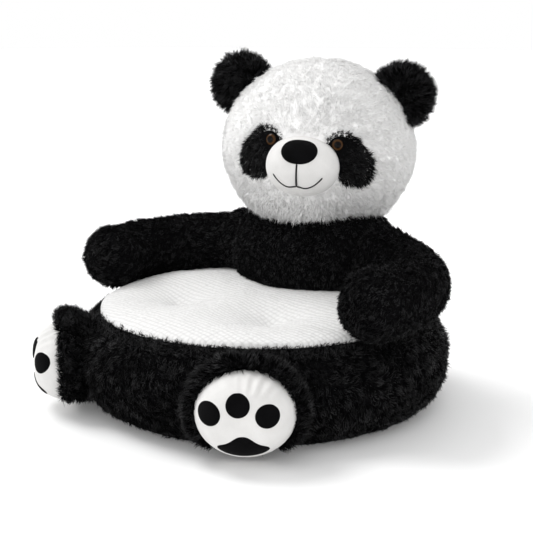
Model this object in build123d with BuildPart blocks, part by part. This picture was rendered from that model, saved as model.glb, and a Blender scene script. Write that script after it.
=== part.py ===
from build123d import *
import os
from math import atan2, cos, degrees, radians, sin, sqrt

# Plush panda chair. Millimetres, origin on the floor under the middle of the round seat, +Z up.
# The panda faces -Y and its own left side is +X. Its head is turned a little towards its left.

# ---- driving dimensions ---------------------------------------------------------------------
CLOTH = 2.0                 # a plush cover: its backing and pressed pile
EASE = 0.2                  # clear gap between a cover and the stuffing inside it
JOINT_GAP = 0.4             # clear gap between two bodies that move on each other
LAID = 0.1                  # clear gap under a piece sewn on top of a cover

SEAT_R, SEAT_Z = 207.0, 114.0       # seam between the seat panel and the side of the base
CROWN_Z = 129.0                     # top of the stuffed seat
CROWN_MID_Z = 125.3                 # the same crown at half the seat's radius
BULGE_R, BULGE_Z = 233.0, 72.0      # widest ring of the base
SOLE_R = 200.0                      # seam between the side and the bottom panel
BOTTOM_T = 1.5
SEAT_T = 4.0                        # quilted seat panel with its wadding
TUFT_X, TUFT_Y, TUFT_Z = 76.0, -72.0, 126.5
TUFT_R = 1.0
STITCH_BAR = (7.0, 3.0, 1.6)

TORSO_AT = (0, 108, 160)
TORSO_HALF_W, TORSO_R, TORSO_TIGHT = 119.0, 89.0, 76.0

HEAD_AT = (9, 101, 318)
HEAD_TURN, HEAD_TILT = 27.4, 3.4    # degrees: turned about +Z, then its left side tipped down
HEAD_HALF_W, HEAD_R, HEAD_TIGHT = 120.0, 101.0, 90.0
COLLAR_IN, COLLAR_T = 0.5, 1.0      # neck collar: gap above it and its thickness
COLLAR_R_IN, COLLAR_R_OUT = 20.0, 46.0

MUZZLE_Y, MUZZLE_Z = -97.0, -21.0   # in the head's own frame
MUZZLE_HALF_W, MUZZLE_R, MUZZLE_TIGHT = 45.5, 37.5, 34.5
NOSE_HALF_W, NOSE_HALF_H = 21.0, 12.5
MOUTH_W = 1.6
LIP_Z, LIP_LOW_Z, LIP_END_Z = -43.0, -44.0, -30.0   # in the head's own frame
LIP_MID_X, LIP_END_X = 15.0, 29.0
PATCH_X, PATCH_Z = 53.0, -9.0
PATCH_HALF_W, PATCH_HALF_H, PATCH_LEAN = 20.0, 30.0, 35.0
PATCH_T = 1.5
EYE_X, EYE_Z, EYE_R, EYE_H, EYE_DOME_R = 40.5, 8.0, 7.2, 5.3, 9.0
SHANK_R, SHANK_L = 2.5, 14.0
WASHER_R, WASHER_T, WASHER_GAP = 7.0, 1.5, 0.6

EAR_X, EAR_Y, EAR_Z = 105.0, -4.0, 68.0
EAR_R, EAR_HALF_T, EAR_TIGHT = 33.0, 12.0, 9.0
EAR_ROOT_HALF_T = 5.0
EAR_ROOT, EAR_FULL = -26.0, 2.0      # the ear thickens between these heights
EAR_GAP = 1.8

ARM_R, SHOULDER_R, PAW_R = 38.5, 45.0, 40.5
SHOULDER_AT = (116, 100, 175)
ELBOW_AT = (197, 51, 166)
PAW_AT = (216, -57, 159)

FOOT_SPLAY = 36.8                   # each foot points this far to the side
FOOT_Z = 59.0
FOOT_PIVOT_R = 232.0                # flex line of a foot, from the origin
HEEL_HALF_W, HEEL_R, HEEL_TIGHT = 58.0, 47.0, 43.0
BAND_HALF_W, BAND_HALF_H = 64.0, 54.0
BAND_BACK, BAND_FRONT = 12.0, 40.0  # the fur band, measured outwards from the flex line
SOLE_HALF_W, SOLE_HALF_H = 55.5, 48.0
SOLE_DOME, SOLE_TIGHT = 12.0, 88.0
PAD_T = 1.2
TOE_R, TOE_SIDE, TOE_UP, MID_TOE_UP = 12.5, 31.0, 6.0, 16.5
TOE_IN = 3.5                        # the toe pads sit a little towards the other foot
HEEL_PAD_HALF_W, HEEL_PAD_Z, HEEL_PAD_H = 29.0, -45.5, 24.5
HEEL_TIP_UP, HEEL_BROW, HEEL_SAG = 8.0, 4.0, 2.0

ZIP_R, ZIP_Z = 230.0, 64.0          # outside of the zip tape
ZIP_FROM, ZIP_SPAN = 56.0, 68.0     # degrees round the back of the base
ZIP_SLOT_H, ZIP_TAPE_H, TAPE_T = 10.0, 24.0, 1.0
COIL_HALF_H, COIL_HALF_T = 2.5, 1.0
STOP_T, STOP_H, STOP_SPAN = 2.4, 7.0, 0.8   # the last one in degrees round the base
SLIDER_W, SLIDER_H, SLIDER_T = 8.0, 9.0, 2.0
SLIDER_AT = 4.5                     # degrees from the end of the slot, when closed
LUG_X, LUG_W, LUG_T, LUG_H = 3.5, 1.0, 3.4, 3.2
PIN_R, PIN_L, PIN_UP, PIN_OUT = 0.6, 7.4, 1.5, 1.8
PULL_W, PULL_L, PULL_T = 9.0, 20.0, 1.2
EYELET_W, EYELET_R, PULL_HOLE_R = 5.4, 1.5, 2.0


# ---- shapes used more than once ------------------------------------------------------------
def oval(frame, half_w, r, tight, grow=0.0):
    """Solid of a four-arc oval turned about the frame's own X axis, grown all round."""
    # arcs centred on the X axis close the ends, and arcs centred on the Y axis make the middle
    if half_w >= r:
        end_r, mid_r = tight, ((half_w - tight) ** 2 + r**2 - tight**2) / (2 * (r - tight))
    else:
        end_r = (half_w**2 + r**2 - 2 * r * tight) / (2 * (half_w - tight))
        mid_r = tight
    end_x, mid_y = half_w - end_r, r - mid_r
    lean = atan2(-mid_y, end_x) if mid_r > end_r else atan2(mid_y, -end_x)
    join_x = end_x + (end_r + grow) * cos(lean)
    join_y = (end_r + grow) * sin(lean)
    half_x = end_x + (end_r + grow) * cos(lean / 2)
    half_y = (end_r + grow) * sin(lean / 2)
    section = Plane(origin=frame.origin, x_dir=frame.x_dir, z_dir=-frame.y_dir)
    with BuildPart() as body:
        with BuildSketch(section):
            with BuildLine():
                ThreePointArc((-half_w - grow, 0), (-half_x, half_y), (-join_x, join_y))
                ThreePointArc((-join_x, join_y), (0, r + grow), (join_x, join_y))
                ThreePointArc((join_x, join_y), (half_x, half_y), (half_w + grow, 0))
                Line((half_w + grow, 0), (-half_w - grow, 0))
            make_face()
        revolve(axis=Axis(frame.origin, frame.x_dir))
    return body.part


def head_oval(grow):
    return oval(head_frame, HEAD_HALF_W, HEAD_R, HEAD_TIGHT, grow)


def neck_oval(grow):
    """The head's outline turned about the head's upright axis, so that the head turns inside it."""
    return oval(head_upright, HEAD_R, HEAD_HALF_W, HEAD_TIGHT, grow)


def muzzle_oval(grow):
    return oval(muzzle_frame, MUZZLE_HALF_W, MUZZLE_R, MUZZLE_TIGHT, grow)


def torso_oval(grow):
    return oval(torso_frame, TORSO_HALF_W, TORSO_R, TORSO_TIGHT, grow)


def drum(grow):
    """Stuffed outline of the base, grown all round."""
    with BuildPart() as body:
        with BuildSketch(Plane.XZ):
            with BuildLine():
                Polyline((0, CROWN_Z + grow), (0, -grow), (SOLE_R + grow, -grow))
                ThreePointArc(
                    (SOLE_R + grow, -grow),
                    (BULGE_R + grow, BULGE_Z),
                    (SEAT_R + grow, SEAT_Z + grow),
                )
                ThreePointArc(
                    (SEAT_R + grow, SEAT_Z + grow),
                    (SEAT_R / 2, CROWN_MID_Z + grow),
                    (0, CROWN_Z + grow),
                )
            make_face()
        revolve(axis=Axis.Z)
    return body.part


def arm(shrink):
    """Left arm: a ball at the shoulder, a bent tube and a round paw."""
    with BuildPart() as body:
        with BuildSketch(Plane(origin=SHOULDER_AT, z_dir=arm_bend % 0)):
            Circle(ARM_R - shrink)
        revolve(
            axis=Axis(arm_bend.arc_center, arm_bend.normal()),
            revolution_arc=degrees(arm_bend.length / arm_bend.radius),
        )
        # each ball is turned half round, which takes its seam off the joins with the tube
        with Locations(Location(SHOULDER_AT, (0, 0, 180))):
            Sphere(SHOULDER_R - shrink)
        with Locations(Location(PAW_AT, (0, 0, 180))):
            Sphere(PAW_R - shrink)
    return body.part


def foot(shrink):
    """Left foot: a heel that rolls in the base, and the fur band in front of it."""
    with BuildPart() as body:
        add(oval(foot_frame, HEEL_HALF_W, HEEL_R, HEEL_TIGHT, -shrink))
        split(bisect_by=foot_front.offset((BAND_BACK + BAND_FRONT) / 2), keep=Keep.BOTTOM)
        with BuildSketch(foot_front.offset(BAND_BACK + shrink)):
            Ellipse(BAND_HALF_W - shrink, BAND_HALF_H - shrink)
        extrude(amount=BAND_FRONT - BAND_BACK - 2 * shrink)
    return body.part


def sole_dome(grow):
    """Solid whose front is the domed sole, as an ellipsoid about the foot's flex line."""
    reach = (SOLE_HALF_H**2 / SOLE_DOME + SOLE_DOME) / 2
    centre = foot_front.offset(BAND_FRONT + SOLE_DOME - reach).origin
    frame = Plane(origin=centre, x_dir=foot_frame.x_dir, z_dir=(0, 0, 1))
    return oval(frame, reach * SOLE_HALF_W / SOLE_HALF_H, reach, SOLE_TIGHT, grow)


def ear(shrink):
    """Left ear: a flat round pad, thinned where it is sewn to the head."""
    with BuildPart() as body:
        add(oval(ear_frame, EAR_HALF_T, EAR_R, EAR_TIGHT, -shrink))
        with BuildSketch(ear_section):
            with BuildLine():
                Polyline(
                    (-EAR_ROOT_HALF_T + shrink, EAR_ROOT),
                    (EAR_ROOT_HALF_T - shrink, EAR_ROOT),
                    (EAR_HALF_T, EAR_FULL),
                    (EAR_HALF_T, 2 * EAR_R),
                    (-EAR_HALF_T, 2 * EAR_R),
                    (-EAR_HALF_T, EAR_FULL),
                    close=True,
                )
            make_face()
        extrude(amount=2 * EAR_R, both=True, mode=Mode.INTERSECT)
        add(head_oval(EAR_GAP + shrink), mode=Mode.SUBTRACT)
    return body.part


def turned(degrees_round):
    """Upright section plane through the Z axis, turned round it."""
    a = radians(degrees_round)
    return Plane(origin=(0, 0, 0), x_dir=(cos(a), sin(a), 0), z_dir=(sin(a), -cos(a), 0))


# ---- frames ----------------------------------------------------------------------------------
torso_frame = Plane(origin=TORSO_AT)

turn, tilt = radians(HEAD_TURN), radians(HEAD_TILT)
head_frame = Plane(
    origin=HEAD_AT,
    x_dir=(cos(turn) * cos(tilt), sin(turn) * cos(tilt), -sin(tilt)),
    z_dir=(cos(turn) * sin(tilt), sin(turn) * sin(tilt), cos(tilt)),
)
head_upright = Plane(origin=HEAD_AT, x_dir=head_frame.z_dir, z_dir=head_frame.x_dir)
head_middle = Plane(origin=HEAD_AT, x_dir=head_frame.y_dir, z_dir=head_frame.x_dir)
face_plane = Plane(origin=HEAD_AT, x_dir=head_frame.x_dir, z_dir=-head_frame.y_dir)
muzzle_frame = Plane(
    origin=head_frame.from_local_coords((0, MUZZLE_Y, MUZZLE_Z)),
    x_dir=head_frame.x_dir,
    z_dir=head_frame.z_dir,
)

eye_y = -HEAD_R * sqrt(1 - (EYE_X / HEAD_HALF_W) ** 2 - (EYE_Z / HEAD_R) ** 2)
eye_out = (
    head_frame.x_dir * (EYE_X / HEAD_HALF_W**2)
    + head_frame.y_dir * (eye_y / HEAD_R**2)
    + head_frame.z_dir * (EYE_Z / HEAD_R**2)
)
eye_plane = Plane(
    origin=head_frame.from_local_coords((EYE_X, eye_y, EYE_Z)),
    x_dir=head_frame.z_dir.cross(eye_out),
    z_dir=eye_out,
)

ear_reach = sqrt(EAR_X**2 + EAR_Z**2)
ear_out = head_frame.x_dir * (EAR_X / ear_reach) + head_frame.z_dir * (EAR_Z / ear_reach)
ear_at = head_frame.from_local_coords((EAR_X, EAR_Y, EAR_Z))
ear_frame = Plane(origin=ear_at, x_dir=head_frame.y_dir, z_dir=ear_out)
ear_section = Plane(origin=ear_at, x_dir=head_frame.y_dir, z_dir=head_frame.y_dir.cross(ear_out))

with BuildLine() as arm_line:
    ThreePointArc(SHOULDER_AT, ELBOW_AT, PAW_AT)
arm_bend = arm_line.line.edge()

splay = radians(FOOT_SPLAY)
foot_out = Vector(sin(splay), -cos(splay), 0)
foot_frame = Plane(
    origin=foot_out * FOOT_PIVOT_R + Vector(0, 0, FOOT_Z),
    x_dir=(cos(splay), sin(splay), 0),
    z_dir=(0, 0, 1),
)
foot_front = Plane(origin=foot_frame.origin, x_dir=foot_frame.x_dir, z_dir=foot_out)

slider_angle = radians(ZIP_FROM + SLIDER_AT)
slider_frame = Plane(
    origin=(0, 0, ZIP_Z),
    x_dir=(sin(slider_angle), -cos(slider_angle), 0),
    z_dir=(0, 0, 1),
)

# ---- cutters that several pieces share ---------------------------------------------------------
heel_seat_left = oval(foot_frame, HEEL_HALF_W, HEEL_R, HEEL_TIGHT, JOINT_GAP)
heel_seat_right = mirror(heel_seat_left, about=Plane.YZ)
neck_dish = neck_oval(2 * COLLAR_IN + COLLAR_T)

# ---- base: a round stuffed drum ----------------------------------------------------------------
with BuildPart() as base_side_cover:
    with BuildSketch(Plane.XZ):
        with BuildLine():
            ThreePointArc((SOLE_R, BOTTOM_T + EASE), (BULGE_R, BULGE_Z), (SEAT_R, SEAT_Z))
            Line((SEAT_R, SEAT_Z), (SEAT_R - CLOTH, SEAT_Z))
            ThreePointArc(
                (SEAT_R - CLOTH, SEAT_Z),
                (BULGE_R - CLOTH, BULGE_Z),
                (SOLE_R - CLOTH, BOTTOM_T + EASE),
            )
            Line((SOLE_R - CLOTH, BOTTOM_T + EASE), (SOLE_R, BOTTOM_T + EASE))
        make_face()
    revolve(axis=Axis.Z)
    add(heel_seat_left, mode=Mode.SUBTRACT)
    add(heel_seat_right, mode=Mode.SUBTRACT)
    # slot for the zip
    with BuildSketch(turned(ZIP_FROM)):
        with Locations((ZIP_R, ZIP_Z)):
            Rectangle(20, ZIP_SLOT_H)
    revolve(axis=Axis.Z, revolution_arc=ZIP_SPAN, mode=Mode.SUBTRACT)

with BuildPart() as base_bottom_panel:
    with BuildSketch():
        Circle(SOLE_R - CLOTH / 2)
    extrude(amount=BOTTOM_T)

with BuildPart() as seat_panel:
    seat_edge = SEAT_R - CLOTH - 2 * EASE
    with BuildSketch(Plane.XZ):
        with BuildLine():
            ThreePointArc((seat_edge, SEAT_Z), (SEAT_R / 2, CROWN_MID_Z), (0, CROWN_Z))
            Line((0, CROWN_Z), (0, CROWN_Z - SEAT_T))
            ThreePointArc(
                (0, CROWN_Z - SEAT_T),
                (SEAT_R / 2, CROWN_MID_Z - SEAT_T),
                (seat_edge, SEAT_Z - SEAT_T),
            )
            Line((seat_edge, SEAT_Z - SEAT_T), (seat_edge, SEAT_Z))
        make_face()
    revolve(axis=Axis.Z)
    with BuildSketch():
        with Locations((-TUFT_X, TUFT_Y), (TUFT_X, TUFT_Y)):
            Circle(TUFT_R + EASE)
    extrude(amount=2 * CROWN_Z, mode=Mode.SUBTRACT)

with BuildPart() as base_fill:
    under_seat = SEAT_T + EASE
    inside = CLOTH + EASE
    with BuildSketch(Plane.XZ):
        with BuildLine():
            Polyline(
                (0, CROWN_Z - under_seat),
                (0, BOTTOM_T + EASE),
                (SOLE_R - inside, BOTTOM_T + EASE),
            )
            ThreePointArc(
                (SOLE_R - inside, BOTTOM_T + EASE),
                (BULGE_R - inside, BULGE_Z),
                (SEAT_R - inside, SEAT_Z),
            )
            Line((SEAT_R - inside, SEAT_Z), (SEAT_R - inside, SEAT_Z - under_seat))
            ThreePointArc(
                (SEAT_R - inside, SEAT_Z - under_seat),
                (SEAT_R / 2, CROWN_MID_Z - under_seat),
                (0, CROWN_Z - under_seat),
            )
        make_face()
    revolve(axis=Axis.Z)
    add(heel_seat_left, mode=Mode.SUBTRACT)
    add(heel_seat_right, mode=Mode.SUBTRACT)
    # room behind the zip tape
    with BuildSketch(turned(ZIP_FROM - 1)):
        with Locations((ZIP_R + 8.8, ZIP_Z)):
            Rectangle(20, ZIP_TAPE_H + 1)
    revolve(axis=Axis.Z, revolution_arc=ZIP_SPAN + 2, mode=Mode.SUBTRACT)
    with BuildSketch():
        with Locations((-TUFT_X, TUFT_Y), (TUFT_X, TUFT_Y)):
            Circle(TUFT_R + EASE)
    extrude(amount=2 * CROWN_Z, mode=Mode.SUBTRACT)

# two ties pull the seat down towards the bottom panel; each ends in a stitch bar on the seat
with BuildPart() as seat_tuft_ties:
    with BuildSketch(Plane.XY.offset(BOTTOM_T + EASE)):
        with Locations((-TUFT_X, TUFT_Y), (TUFT_X, TUFT_Y)):
            Circle(TUFT_R)
    extrude(amount=TUFT_Z - BOTTOM_T)
    with Locations((-TUFT_X, TUFT_Y, TUFT_Z), (TUFT_X, TUFT_Y, TUFT_Z)):
        Box(*STITCH_BAR)

# ---- zip in the back of the base ---------------------------------------------------------------
with BuildPart() as zip_tape:
    with BuildSketch(turned(ZIP_FROM - 0.5)):
        with Locations((ZIP_R - TAPE_T / 2, ZIP_Z)):
            Rectangle(TAPE_T, ZIP_TAPE_H)
    revolve(axis=Axis.Z, revolution_arc=ZIP_SPAN + 1)

with BuildPart() as zip_coil:
    with BuildSketch(turned(ZIP_FROM + 2)):
        with Locations((ZIP_R + COIL_HALF_T + EASE, ZIP_Z)):
            Polygon(
                (-COIL_HALF_T, -COIL_HALF_H),
                (COIL_HALF_T, -COIL_HALF_H + COIL_HALF_T),
                (COIL_HALF_T, COIL_HALF_H - COIL_HALF_T),
                (-COIL_HALF_T, COIL_HALF_H),
            )
    revolve(axis=Axis.Z, revolution_arc=ZIP_SPAN - 4)

with BuildPart() as zip_stops:
    for stop_at in (ZIP_FROM + STOP_SPAN, ZIP_FROM + ZIP_SPAN - 2 * STOP_SPAN):
        with BuildSketch(turned(stop_at)):
            with Locations((ZIP_R + EASE + STOP_T / 2, ZIP_Z)):
                Rectangle(STOP_T, STOP_H)
        revolve(axis=Axis.Z, revolution_arc=STOP_SPAN)

slider_y = ZIP_R + 2 * COIL_HALF_T + JOINT_GAP + EASE
pin_y = slider_y + SLIDER_T + PIN_OUT
with BuildPart(slider_frame) as zip_slider:
    with Locations((0, slider_y + SLIDER_T / 2, 0)):
        Box(SLIDER_W, SLIDER_T, SLIDER_H)
    with Locations((-LUG_X, pin_y - PIN_R, PIN_UP), (LUG_X, pin_y - PIN_R, PIN_UP)):
        Box(LUG_W, LUG_T, LUG_H)
    with Locations((0, pin_y, PIN_UP)):
        Cylinder(PIN_R, PIN_L, rotation=(0, 90, 0))

with BuildPart(slider_frame) as zip_pull:
    with Locations((0, pin_y, PIN_UP)):
        Cylinder(EYELET_R, EYELET_W, rotation=(0, 90, 0))
    with Locations((0, pin_y, PIN_UP - PULL_L / 2)):
        Box(EYELET_W, PULL_T, PULL_L)
    with Locations((0, pin_y, PIN_UP - PULL_L)):
        Cylinder(PULL_W / 2, PULL_T, rotation=(90, 0, 0))
        Cylinder(PULL_HOLE_R, 4 * PULL_T, rotation=(90, 0, 0), mode=Mode.SUBTRACT)
    with Locations((0, pin_y, PIN_UP)):
        Cylinder(PIN_R + EASE, 2 * EYELET_W, rotation=(0, 90, 0), mode=Mode.SUBTRACT)

# ---- torso, which is the backrest --------------------------------------------------------------
# each shoulder's hollow is a ball turned a quarter, which takes its seam off the torso's own
shoulder_right = (-SHOULDER_AT[0], SHOULDER_AT[1], SHOULDER_AT[2])
shoulder_hollows = [Location(at, (0, 0, 90)) for at in (SHOULDER_AT, shoulder_right)]
with BuildPart() as torso_cover:
    add(torso_oval(0))
    add(drum(EASE), mode=Mode.SUBTRACT)
    add(neck_dish, mode=Mode.SUBTRACT)
    with Locations(shoulder_hollows):
        Sphere(SHOULDER_R + JOINT_GAP, mode=Mode.SUBTRACT)
    add(torso_oval(-CLOTH), mode=Mode.SUBTRACT)

with BuildPart() as torso_fill:
    add(torso_oval(-CLOTH - EASE))
    add(drum(2 * EASE), mode=Mode.SUBTRACT)
    add(neck_dish, mode=Mode.SUBTRACT)
    with Locations(shoulder_hollows):
        Sphere(SHOULDER_R + JOINT_GAP, mode=Mode.SUBTRACT)

# ring of cloth on which the head turns and nods, between the torso's dish and the head
with BuildPart() as neck_collar:
    add(neck_oval(COLLAR_IN + COLLAR_T))
    add(neck_oval(COLLAR_IN), mode=Mode.SUBTRACT)
    with BuildSketch(Plane(origin=HEAD_AT, x_dir=head_frame.x_dir, z_dir=-head_frame.z_dir)):
        Circle(COLLAR_R_OUT)
        Circle(COLLAR_R_IN, mode=Mode.SUBTRACT)
    extrude(amount=2 * HEAD_R, mode=Mode.INTERSECT)

# ---- head --------------------------------------------------------------------------------------
with BuildPart(eye_plane) as eye_left:
    with Locations((0, 0, PATCH_T + EYE_H - EYE_DOME_R)):
        Sphere(EYE_DOME_R)
    with Locations((0, 0, PATCH_T + EASE)):
        Cylinder(
            EYE_R,
            EYE_H,
            align=(Align.CENTER, Align.CENTER, Align.MIN),
            mode=Mode.INTERSECT,
        )
    with Locations((0, 0, PATCH_T + 1)):
        Cylinder(SHANK_R, SHANK_L, align=(Align.CENTER, Align.CENTER, Align.MAX))

with BuildPart(eye_plane) as eye_washer_left:
    with Locations((0, 0, -CLOTH - WASHER_GAP)):
        Cylinder(WASHER_R, WASHER_T, align=(Align.CENTER, Align.CENTER, Align.MAX))
        Cylinder(
            SHANK_R + LAID,
            WASHER_T,
            align=(Align.CENTER, Align.CENTER, Align.MAX),
            mode=Mode.SUBTRACT,
        )

with BuildPart(eye_plane) as eye_shank_hole:
    Cylinder(SHANK_R + LAID, 4 * SHANK_L)
with BuildPart(eye_plane) as eye_pocket:
    with Locations((0, 0, CLOTH)):
        Cylinder(WASHER_R + 0.5, SHANK_L + 4, align=(Align.CENTER, Align.CENTER, Align.MAX))
shank_hole_right = mirror(eye_shank_hole.part, about=head_middle)
eye_pocket_right = mirror(eye_pocket.part, about=head_middle)

with BuildPart() as head_cover:
    add(head_oval(0))
    add(head_oval(-CLOTH), mode=Mode.SUBTRACT)
    add(eye_shank_hole.part, mode=Mode.SUBTRACT)
    add(shank_hole_right, mode=Mode.SUBTRACT)

with BuildPart() as head_fill:
    add(head_oval(-CLOTH - EASE))
    add(eye_pocket.part, mode=Mode.SUBTRACT)
    add(eye_pocket_right, mode=Mode.SUBTRACT)

with BuildPart() as muzzle_cover:
    add(muzzle_oval(0))
    add(muzzle_oval(-CLOTH), mode=Mode.SUBTRACT)
    add(head_oval(LAID), mode=Mode.SUBTRACT)

with BuildPart() as muzzle_fill:
    add(muzzle_oval(-CLOTH - EASE))
    add(head_oval(LAID), mode=Mode.SUBTRACT)

with BuildPart() as nose_patch:
    add(muzzle_oval(LAID + PAD_T))
    add(muzzle_oval(LAID), mode=Mode.SUBTRACT)
    with BuildSketch(face_plane.offset(-MUZZLE_Y)):
        Ellipse(NOSE_HALF_W, NOSE_HALF_H)
    extrude(amount=2 * MUZZLE_R, mode=Mode.INTERSECT)

with BuildPart() as mouth_stitching:
    add(muzzle_oval(LAID + MOUTH_W / 2))
    add(muzzle_oval(LAID), mode=Mode.SUBTRACT)
    with BuildSketch(face_plane.offset(-MUZZLE_Y)):
        with BuildLine():
            Line((0, -NOSE_HALF_H - MOUTH_W / 2), (0, LIP_Z))
            ThreePointArc((0, LIP_Z), (LIP_MID_X, LIP_LOW_Z), (LIP_END_X, LIP_END_Z))
            ThreePointArc((0, LIP_Z), (-LIP_MID_X, LIP_LOW_Z), (-LIP_END_X, LIP_END_Z))
        trace(line_width=MOUTH_W)
    extrude(amount=2 * MUZZLE_R, mode=Mode.INTERSECT)

with BuildPart() as eye_patch_left:
    add(head_oval(LAID + PATCH_T))
    add(head_oval(LAID), mode=Mode.SUBTRACT)
    with BuildSketch(face_plane):
        with Locations((PATCH_X, PATCH_Z)):
            Ellipse(PATCH_HALF_W, PATCH_HALF_H, rotation=PATCH_LEAN)
    extrude(amount=2 * HEAD_R, mode=Mode.INTERSECT)
    add(muzzle_oval(EASE), mode=Mode.SUBTRACT)
    add(eye_shank_hole.part, mode=Mode.SUBTRACT)

with BuildPart() as ear_cover_left:
    add(ear(0))
    add(ear(CLOTH), mode=Mode.SUBTRACT)
with BuildPart() as ear_fill_left:
    add(ear(CLOTH + EASE))

with BuildPart() as eye_right:
    mirror(eye_left.part, about=head_middle)
with BuildPart() as eye_washer_right:
    mirror(eye_washer_left.part, about=head_middle)
with BuildPart() as eye_patch_right:
    mirror(eye_patch_left.part, about=head_middle)
with BuildPart() as ear_cover_right:
    mirror(ear_cover_left.part, about=head_middle)
with BuildPart() as ear_fill_right:
    mirror(ear_fill_left.part, about=head_middle)

# ---- arms, which are the armrests --------------------------------------------------------------
with BuildPart() as arm_cover_left:
    add(arm(0))
    add(arm(CLOTH), mode=Mode.SUBTRACT)
with BuildPart() as arm_fill_left:
    add(arm(CLOTH + EASE))
with BuildPart() as arm_cover_right:
    mirror(arm_cover_left.part, about=Plane.YZ)
with BuildPart() as arm_fill_right:
    mirror(arm_fill_left.part, about=Plane.YZ)

# ---- feet --------------------------------------------------------------------------------------
with BuildPart() as foot_cover_left:
    add(foot(0))
    add(foot(CLOTH), mode=Mode.SUBTRACT)
    # opening that the sole closes
    with BuildSketch(foot_front.offset(BAND_FRONT - 2 * CLOTH)):
        Ellipse(SOLE_HALF_W + EASE, SOLE_HALF_H + EASE)
    extrude(amount=4 * CLOTH, mode=Mode.SUBTRACT)

with BuildPart() as foot_sole_left:
    add(sole_dome(0))
    add(sole_dome(-CLOTH), mode=Mode.SUBTRACT)
    with BuildSketch(foot_front.offset(BAND_FRONT - CLOTH)):
        Ellipse(SOLE_HALF_W, SOLE_HALF_H)
    extrude(amount=2 * SOLE_DOME, mode=Mode.INTERSECT)

with BuildPart() as sole_stuffing:
    add(sole_dome(-CLOTH - EASE))
    with BuildSketch(foot_front.offset(BAND_BACK + 4 * CLOTH)):
        Ellipse(SOLE_HALF_W - CLOTH - EASE, SOLE_HALF_H - CLOTH - EASE)
    extrude(amount=BAND_FRONT, mode=Mode.INTERSECT)
with BuildPart() as foot_fill_left:
    add(foot(CLOTH + EASE))
    add(sole_stuffing.part)

with BuildPart() as toe_pads_left:
    add(sole_dome(LAID + PAD_T))
    add(sole_dome(LAID), mode=Mode.SUBTRACT)
    with BuildSketch(foot_front):
        with Locations(
            (-TOE_SIDE - TOE_IN, TOE_UP),
            (-TOE_IN, MID_TOE_UP),
            (TOE_SIDE - TOE_IN, TOE_UP),
        ):
            Circle(TOE_R)
    extrude(amount=2 * BAND_FRONT, mode=Mode.INTERSECT)

with BuildPart() as heel_pad_left:
    add(sole_dome(LAID + PAD_T))
    add(sole_dome(LAID), mode=Mode.SUBTRACT)
    with BuildSketch(foot_front):
        with BuildLine():
            Spline(
                (-HEEL_PAD_HALF_W, HEEL_PAD_Z + HEEL_TIP_UP),
                (-HEEL_PAD_HALF_W / 2, HEEL_PAD_Z + HEEL_PAD_H - HEEL_BROW),
                (0, HEEL_PAD_Z + HEEL_PAD_H),
                (HEEL_PAD_HALF_W / 2, HEEL_PAD_Z + HEEL_PAD_H - HEEL_BROW),
                (HEEL_PAD_HALF_W, HEEL_PAD_Z + HEEL_TIP_UP),
            )
            ThreePointArc(
                (HEEL_PAD_HALF_W, HEEL_PAD_Z + HEEL_TIP_UP),
                (0, HEEL_PAD_Z + HEEL_SAG),
                (-HEEL_PAD_HALF_W, HEEL_PAD_Z + HEEL_TIP_UP),
            )
        make_face()
    extrude(amount=2 * BAND_FRONT, mode=Mode.INTERSECT)

with BuildPart() as foot_cover_right:
    mirror(foot_cover_left.part, about=Plane.YZ)
with BuildPart() as foot_fill_right:
    mirror(foot_fill_left.part, about=Plane.YZ)
with BuildPart() as foot_sole_right:
    mirror(foot_sole_left.part, about=Plane.YZ)
with BuildPart() as toe_pads_right:
    mirror(toe_pads_left.part, about=Plane.YZ)
with BuildPart() as heel_pad_right:
    mirror(heel_pad_left.part, about=Plane.YZ)

# ---- export ------------------------------------------------------------------------------------
nodes = {
    "base_side_cover": base_side_cover,
    "base_bottom_panel": base_bottom_panel,
    "base_fill": base_fill,
    "seat_panel": seat_panel,
    "seat_tuft_ties": seat_tuft_ties,
    "zip_tape": zip_tape,
    "zip_coil": zip_coil,
    "zip_stops": zip_stops,
    "zip_slider": zip_slider,
    "zip_pull": zip_pull,
    "torso_cover": torso_cover,
    "torso_fill": torso_fill,
    "neck_collar": neck_collar,
    "head_cover": head_cover,
    "head_fill": head_fill,
    "muzzle_cover": muzzle_cover,
    "muzzle_fill": muzzle_fill,
    "nose_patch": nose_patch,
    "mouth_stitching": mouth_stitching,
    "eye_patch_left": eye_patch_left,
    "eye_patch_right": eye_patch_right,
    "eye_left": eye_left,
    "eye_right": eye_right,
    "eye_washer_left": eye_washer_left,
    "eye_washer_right": eye_washer_right,
    "ear_cover_left": ear_cover_left,
    "ear_cover_right": ear_cover_right,
    "ear_fill_left": ear_fill_left,
    "ear_fill_right": ear_fill_right,
    "arm_cover_left": arm_cover_left,
    "arm_cover_right": arm_cover_right,
    "arm_fill_left": arm_fill_left,
    "arm_fill_right": arm_fill_right,
    "foot_cover_left": foot_cover_left,
    "foot_cover_right": foot_cover_right,
    "foot_fill_left": foot_fill_left,
    "foot_fill_right": foot_fill_right,
    "foot_sole_left": foot_sole_left,
    "foot_sole_right": foot_sole_right,
    "toe_pads_left": toe_pads_left,
    "toe_pads_right": toe_pads_right,
    "heel_pad_left": heel_pad_left,
    "heel_pad_right": heel_pad_right,
}
os.makedirs("parts", exist_ok=True)
for name, body in nodes.items():
    body.part.label = name
    export_step(body.part, f"parts/{name}.step")
    box = body.part.bounding_box()
    print(f"{name:20s} solids {len(body.part.solids())} volume {body.part.volume / 1000:9.1f} cm3 "
          f"z {box.min.Z:6.1f} to {box.max.Z:6.1f}")
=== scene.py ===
from math import atan2, cos, pi, radians, sin

import bpy
import numpy as np
from mathutils import Matrix, Vector


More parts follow.
